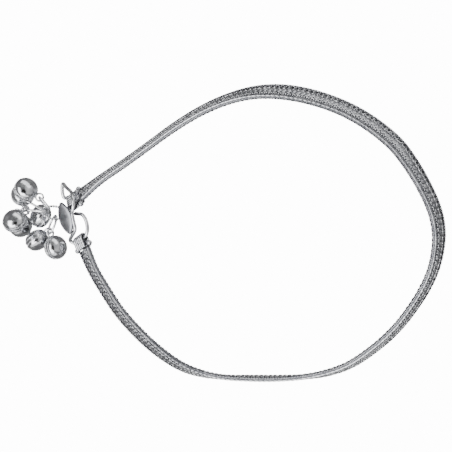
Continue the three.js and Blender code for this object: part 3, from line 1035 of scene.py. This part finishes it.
class ANKLET_OT_leaf_hook(bpy.types.Operator):
    """Make the leaf, its two wire loops and the bail"""

    bl_idname = "anklet.leaf_hook"
    bl_label = "Leaf Hook"

    def execute(self, context):
        self.make_leaf()
        self.make_loops()
        self.make_bail()
        return {"FINISHED"}

    def make_leaf(self):
        long, wide, face = leaf_axes()
        steps = 40
        shares = [-math.cos(math.pi * i / steps) for i in range(steps + 1)]
        frames = [(leaf_point(share, 0, 0), wide, face) for share in shares]
        edge = LEAF_THICKNESS / 2
        across = 14

        def section_at(i):
            share = max((1 - shares[i] ** 2) ** 0.8, 0.05)
            half = LEAF_WIDTH / 2 * share
            top = []
            for k in range(across + 1):
                place = 1 - 2 * k / across
                rise = LEAF_DOME * share * (1 - abs(place) ** 1.7)
                top.append((half * place, edge - LEAF_EDGE_FALL * place**8 + rise))
            side = LEAF_BACK_BEVEL - edge
            return [(-half, side), (-half * 0.9, -edge), (half * 0.9, -edge), (half, side)] + top

        leaf = swept(frames, section_at, False)
        silver_piece("leaf_plate", leaf, "leaf", ["leaf_hook"], 40)

    def make_loops(self):
        upper, lower = end_frame(True), end_frame(False)
        loop = [placed(upper, UPPER_REACH + a, b, c) for a, b, c in CLOSED_LOOP]
        hook = [loop[3]]
        hook += [leaf_point(a, b, -LEAF_THICKNESS / 2) for a, b in HOOK_UNDER_LEAF]
        hook += [placed(lower, LOWER_REACH + a, b, c) for a, b, c in OPEN_HOOK]
        wires = [
            wire(partial(gentle_curve, points, closed), HOOK_WIRE_RADIUS, WIRE_SIDES, 110, closed)
            for points, closed in ((loop, True), (hook, False))
        ]
        silver_piece("hook_wires", joined(*wires), "wire")

    def make_bail(self):
        rise = BAIL_HALF_HEIGHT - BAIL_WIRE_RADIUS - 2 * STRAND_RADIUS - RING_PLAY
        centre = oval_point(TWISTED_RING, 0.5) + UP * rise
        oval = (centre, UP, Vector((1, 0, 0)), BAIL_HALF_HEIGHT, BAIL_HALF_WIDTH)
        silver_piece("bunch_bail", oval_wire(oval, BAIL_WIRE_RADIUS, 12, 48), "wire")


def hanging_oval(ring):
    turn, towards, half_length, half_width = ring
    twisted = partial(oval_point, TWISTED_RING)
    held = twisted(turn)
    long = (towards - held).normalized()
    short = direction_at(twisted, turn).cross(long).normalized()
    inside = half_length - RING_WIRE_RADIUS - 2 * STRAND_RADIUS - RING_PLAY
    return held + long * inside, long, short, half_length, half_width


def ring_curve(name):
    """The middle line of one of the bunch's rings."""
    if name == "long":
        points = [Vector(point) for point in LONG_RING_ROUTE]
        return partial(gentle_curve, points, True)
    if name == "twisted":
        return partial(oval_point, TWISTED_RING)
    return partial(oval_point, hanging_oval(UPPER_RING if name == "upper" else LOWER_RING))


class ANKLET_OT_rings(bpy.types.Operator):
    """Make the twisted ring and the three plain rings on it"""

    bl_idname = "anklet.rings"
    bl_label = "Rings"

    def execute(self, context):
        self.make_twisted()
        for name, steps in (("upper", 56), ("lower", 56), ("long", 110)):
            ring = wire(ring_curve(name), RING_WIRE_RADIUS, WIRE_SIDES, steps, True)
            silver_piece("plain_ring_" + name, ring, "wire", [name + "_ring"])
        return {"FINISHED"}

    def make_twisted(self):
        steps_per_twist = 14
        steps = RING_TWISTS * steps_per_twist
        frames = carried_frames(evenly_spaced(ring_curve("twisted"), steps, True), True)
        section = circle(STRAND_RADIUS, 10)
        strands = []
        for start in (0, math.pi):

            def section_at(i, start=start):
                angle = start + i / steps_per_twist * math.tau
                a, b = STRAND_RADIUS * math.cos(angle), STRAND_RADIUS * math.sin(angle)
                return [(a + x, b + y) for x, y in section]

            strands.append(swept(frames, section_at, True))
        silver_piece(
            "two_strand_ring", joined(*strands), "wire", ["twisted_ring"]
        )


class ANKLET_OT_bells(bpy.types.Operator):
    """Make the seven round bells"""

    bl_idname = "anklet.bells"
    bl_label = "Round Bells"

    def execute(self, context):
        settings = context.scene.anklet_bells
        for i, (ring, turn, towards, axis) in enumerate(BELLS):
            self.make_bell(f"bell_{i + 1}", ring, turn, Vector(towards), Vector(axis), settings)
        return {"FINISHED"}

    def shell_profile(self):
        """(radius, height) pairs of the outside, from the top down to the middle."""
        top = (BELL_BAND + BELL_RIM_WIDTH) / 2
        bottom = (BELL_BAND - BELL_RIM_WIDTH) / 2
        steps = 16
        half = []
        for i in range(steps + 1):
            angle = math.pi / 2 * (1 - i / steps)
            half.append((
                BELL_DOME_RADIUS * math.cos(angle) if i else 0,
                top + (BELL_HALF_DEPTH - top) * math.sin(angle),
            ))
        swell = BELL_RIM_RADIUS - BEAD_STAND - BELL_GROOVE_RADIUS
        for i in range(1, 7):
            angle = math.pi * (0.5 - i / 6)
            half.append((
                BELL_GROOVE_RADIUS + swell * max(math.cos(angle), 0) ** 0.7,
                (top + bottom) / 2 + BELL_RIM_WIDTH / 2 * math.sin(angle),
            ))
        return half

    def make_bell(self, name, ring, turn, towards, axis, settings):
        curve = ring_curve(ring)
        eye = curve(turn)
        hang = (towards - eye).normalized()
        middle = eye + hang * (BELL_RIM_RADIUS - EYE_SEAT + EYE_RADIUS)
        axis = (axis - hang * axis.dot(hang)).normalized()
        inner_radius = BELL_GROOVE_RADIUS - BELL_WALL
        inner_depth = BELL_HALF_DEPTH - BELL_WALL
        inside = []
        for i in range(17):
            angle = math.pi * (0.5 - i / 16)
            inside.append((inner_radius * math.cos(angle), inner_depth * math.sin(angle)))
        inside[0], inside[-1] = (0, inner_depth), (0, -inner_depth)
        shell = turned(mirrored(self.shell_profile()), 64, middle, axis, hang)
        points, faces = turned(inside, 64, middle, axis, hang)
        body = joined(shell, (points, [face[::-1] for face in faces]))
        mesh = self.cut_slit(name, body, middle, axis, hang)
        finish_mesh(name + "_shell", mesh, "bell", [name], 30)
        self.make_rims(name, middle, axis, hang, settings)
        along = direction_at(curve, turn)
        side = along.cross(hang).normalized()
        oval = (eye, hang, side, EYE_RADIUS, EYE_RADIUS)
        wires = oval_wire(oval, EYE_WIRE_RADIUS, 12, 36)
        silver_piece(name + "_eye", wires, "wire")

    def cut_slit(self, name, body, middle, axis, hang):
        """The shell with a slit across the dome that faces away from its axis."""
        third = axis.cross(hang)
        corners = [
            (a * BELL_SLIT_WIDTH / 2, b * BELL_SLIT_LENGTH / 2)
            for a, b in ((-1, -1), (1, -1), (1, 1), (-1, 1))
        ]
        frames = [
            (middle + axis * height, hang, third)
            for height in (-BELL_HALF_DEPTH - BELL_WALL, -BELL_BAND / 2)
        ]
        shell = linked(name + "shell", part_mesh(name + "shell", *body))
        block = swept(frames, lambda i: corners, False)
        slit = linked(name + "slit", part_mesh(name + "slit", *block))
        cutter = shell.modifiers.new("Slit", "BOOLEAN")
        cutter.operation = "DIFFERENCE"
        cutter.solver = "EXACT"
        cutter.object = slit
        mesh = modified_mesh(shell, [slit])
        if len(mesh.polygons) < 500:
            raise RuntimeError(f"the slit of {name} left no shell")
        return mesh

    def make_rims(self, name, middle, axis, hang, settings):
        third = axis.cross(hang)
        radius = BELL_RIM_RADIUS - settings.bead_size / MM / 2 - BEAD_INSET
        row = []
        for height in (BELL_BAND / 2, -BELL_BAND / 2):
            for i in range(settings.beads):
                angle = i / settings.beads * math.tau
                spoke = hang * math.cos(angle) + third * math.sin(angle)
                along = axis.cross(spoke)
                row.append((middle + spoke * radius + axis * height, along, spoke))
        half = settings.bead_size / MM / 2
        silver_row(
            name + "_rims", row, crown("rim_bead", half, half * 0.95, half, 8, 4), "bell",
            tilt=0.02, size=0.03, seed=2,
        )


# Stage


class ANKLET_OT_stage(bpy.types.Operator):
    """Make the camera, the plain floor and the soft lights"""

    bl_idname = "anklet.stage"
    bl_label = "Stage"

    def execute(self, context):
        settings = context.scene.anklet_stage
        self.make_camera(context)
        self.make_floor(settings)
        self.make_surround(context, settings)
        self.make_lights(settings)
        self.make_shade()
        return {"FINISHED"}

    def camera_axes(self):
        angle = math.radians(CAMERA_ELEVATION)
        back = Vector((math.cos(angle), 0, math.sin(angle)))
        right = Vector((math.sin(angle), 0, -math.cos(angle)))
        return right, Vector((0, 1, 0)), back

    def make_camera(self, context):
        right, up, back = self.camera_axes()
        data = bpy.data.cameras.new("camera")
        data.lens = CAMERA_LENS
        data.sensor_width = 36
        data.clip_start = 0.01
        camera = linked("camera", data)
        camera.matrix_world = Matrix.Translation((ORIGIN + back * CAMERA_DISTANCE) * MM) @ (
            Matrix((right, up, back)).transposed().to_4x4()
        )
        context.scene.camera = camera

    def make_floor(self, settings):
        half = FLOOR_HALF_WIDTH
        mesh = bpy.data.meshes.new("floor")
        corners = [(-half, -half, 0), (half, -half, 0), (half, half, 0), (-half, half, 0)]
        mesh.from_pydata(corners, [], [(0, 1, 2, 3)])
        # Matt white acrylic sheet lit from below, so that nothing throws a shadow on it.
        material, add = empty_material("lit_white_acrylic")
        colour = tuple(settings.floor_colour)
        glow = add("ShaderNodeEmission", Color=colour, Strength=FLOOR_GLOW)
        add("ShaderNodeOutputMaterial", Surface=glow)
        mesh.materials.append(material)
        floor = linked("floor", mesh)
        floor.location.z = -FLOOR_DROP
        floor.visible_glossy = False
        floor.visible_diffuse = False

    def make_surround(self, context, settings):
        world = bpy.data.worlds.new("studio_room")
        world.use_nodes = True
        tree = world.node_tree
        tree.nodes.clear()
        level = settings.surround
        colour = (level, level, level * 1.01, 1)
        room = add_node(tree, "ShaderNodeBackground", Color=colour, Strength=1.0)
        add_node(tree, "ShaderNodeOutputWorld", Surface=room)
        context.scene.world = world

    def make_lights(self, settings):
        for name, direction, distance, size, power in LIGHTS:
            data = bpy.data.lights.new(name, "AREA")
            data.shape = "RECTANGLE"
            data.size, data.size_y = size
            data.energy = power * settings.light_strength
            light = linked(name, data)
            towards = Vector(direction).normalized()
            light.location = towards * distance
            light.rotation_mode = "QUATERNION"
            light.rotation_quaternion = towards.to_track_quat("Z", "Y")

    def make_shade(self):
        """A dark round card behind the camera, for the dark middle of each reflection."""
        right, up, back = self.camera_axes()
        centre = back * SHADE_DISTANCE
        rim = [centre + right * a + up * b for a, b in circle(SHADE_RADIUS, 32)]
        mesh = bpy.data.meshes.new("round_shade")
        mesh.from_pydata(rim, [], [tuple(range(32))])
        # Black velvet card: takes nearly all the light.
        material, add = empty_material("black_velvet")
        velvet = add("ShaderNodeBsdfPrincipled", Base_Color=linear("#0A0A0A"), Roughness=1.0)
        add("ShaderNodeOutputMaterial", Surface=velvet)
        mesh.materials.append(material)
        shade = linked("round_shade", mesh)
        shade.visible_camera = False


class ANKLET_PT_panel(bpy.types.Panel):
    """Lists the anklet's pieces and their settings"""

    bl_idname = "ANKLET_PT_panel"
    bl_label = "Payal Anklet"
    bl_space_type = "VIEW_3D"
    bl_region_type = "UI"
    bl_category = "Anklet"

    def draw(self, context):
        scene = context.scene
        for settings, operators in (
            (scene.anklet_strap, ("anklet.strap", "anklet.end_straps")),
            (scene.anklet_bells, ("anklet.leaf_hook", "anklet.rings", "anklet.bells")),
            (scene.anklet_stage, ("anklet.stage",)),
        ):
            box = self.layout.box()
            for name in settings.__annotations__:
                box.prop(settings, name)
            for operator in operators:
                box.operator(operator)


CLASSES = (
    AnkletStrapSettings,
    AnkletBellSettings,
    AnkletStageSettings,
    ANKLET_OT_strap,
    ANKLET_OT_end_straps,
    ANKLET_OT_leaf_hook,
    ANKLET_OT_rings,
    ANKLET_OT_bells,
    ANKLET_OT_stage,
    ANKLET_PT_panel,
)


def register():
    for cls in CLASSES:
        bpy.utils.register_class(cls)
    bpy.types.Scene.anklet_strap = bpy.props.PointerProperty(type=AnkletStrapSettings)
    bpy.types.Scene.anklet_bells = bpy.props.PointerProperty(type=AnkletBellSettings)
    bpy.types.Scene.anklet_stage = bpy.props.PointerProperty(type=AnkletStageSettings)


def unregister():
    for name in ("anklet_strap", "anklet_bells", "anklet_stage"):
        delattr(bpy.types.Scene, name)
    for cls in reversed(CLASSES):
        bpy.utils.unregister_class(cls)


def main():
    register()
    bpy.ops.anklet.strap()
    bpy.ops.anklet.end_straps()
    bpy.ops.anklet.leaf_hook()
    bpy.ops.anklet.rings()
    bpy.ops.anklet.bells()
    bpy.ops.anklet.stage()


if __name__ == "__main__":
    main()
